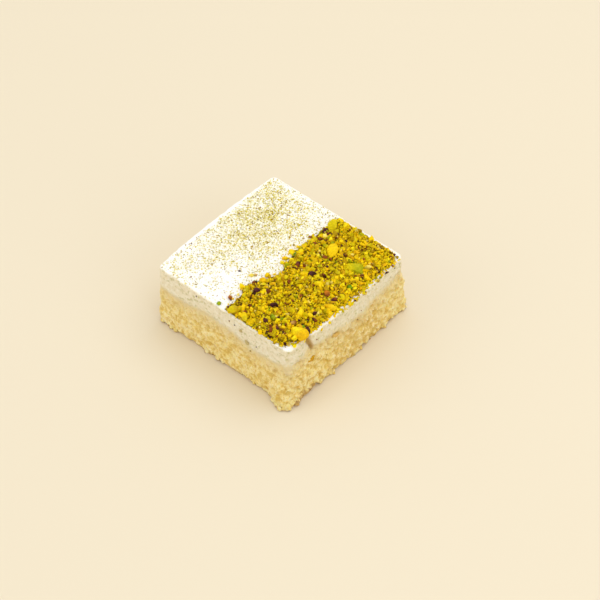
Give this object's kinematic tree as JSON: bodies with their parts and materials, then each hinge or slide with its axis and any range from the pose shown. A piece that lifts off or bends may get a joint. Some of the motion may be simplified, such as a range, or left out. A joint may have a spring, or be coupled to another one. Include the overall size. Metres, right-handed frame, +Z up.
{
  "type": "tres leches cake slice",
  "caption": "Square slice of tres leches cake: milk-soaked sponge under whipped cream, one half of the top covered with chopped pistachio.",
  "frame": {"origin": "middle of the slice's footprint on the surface it rests on", "axes": "+Z up through the layers, +X towards the half covered with pistachio, Y along the edge of the pistachio bed"},
  "size_m": [0.0862, 0.089, 0.04],
  "materials": {
    "soaked_sponge": "open, milk-soaked golden crumb, matt with a faint wet sheen",
    "whipped_cream": "smooth white cream, softly satin, knife marks on the cut sides",
    "chopped_pistachio": "matt chopped nut, mostly bright yellow and lime with green and purple-brown bits"
  },
  "bodies": {
    "root": {"sponge_cake": "soaked_sponge", "whipped_cream": "whipped_cream", "chopped_pistachio": "chopped_pistachio"}
  },
  "joints": []
}
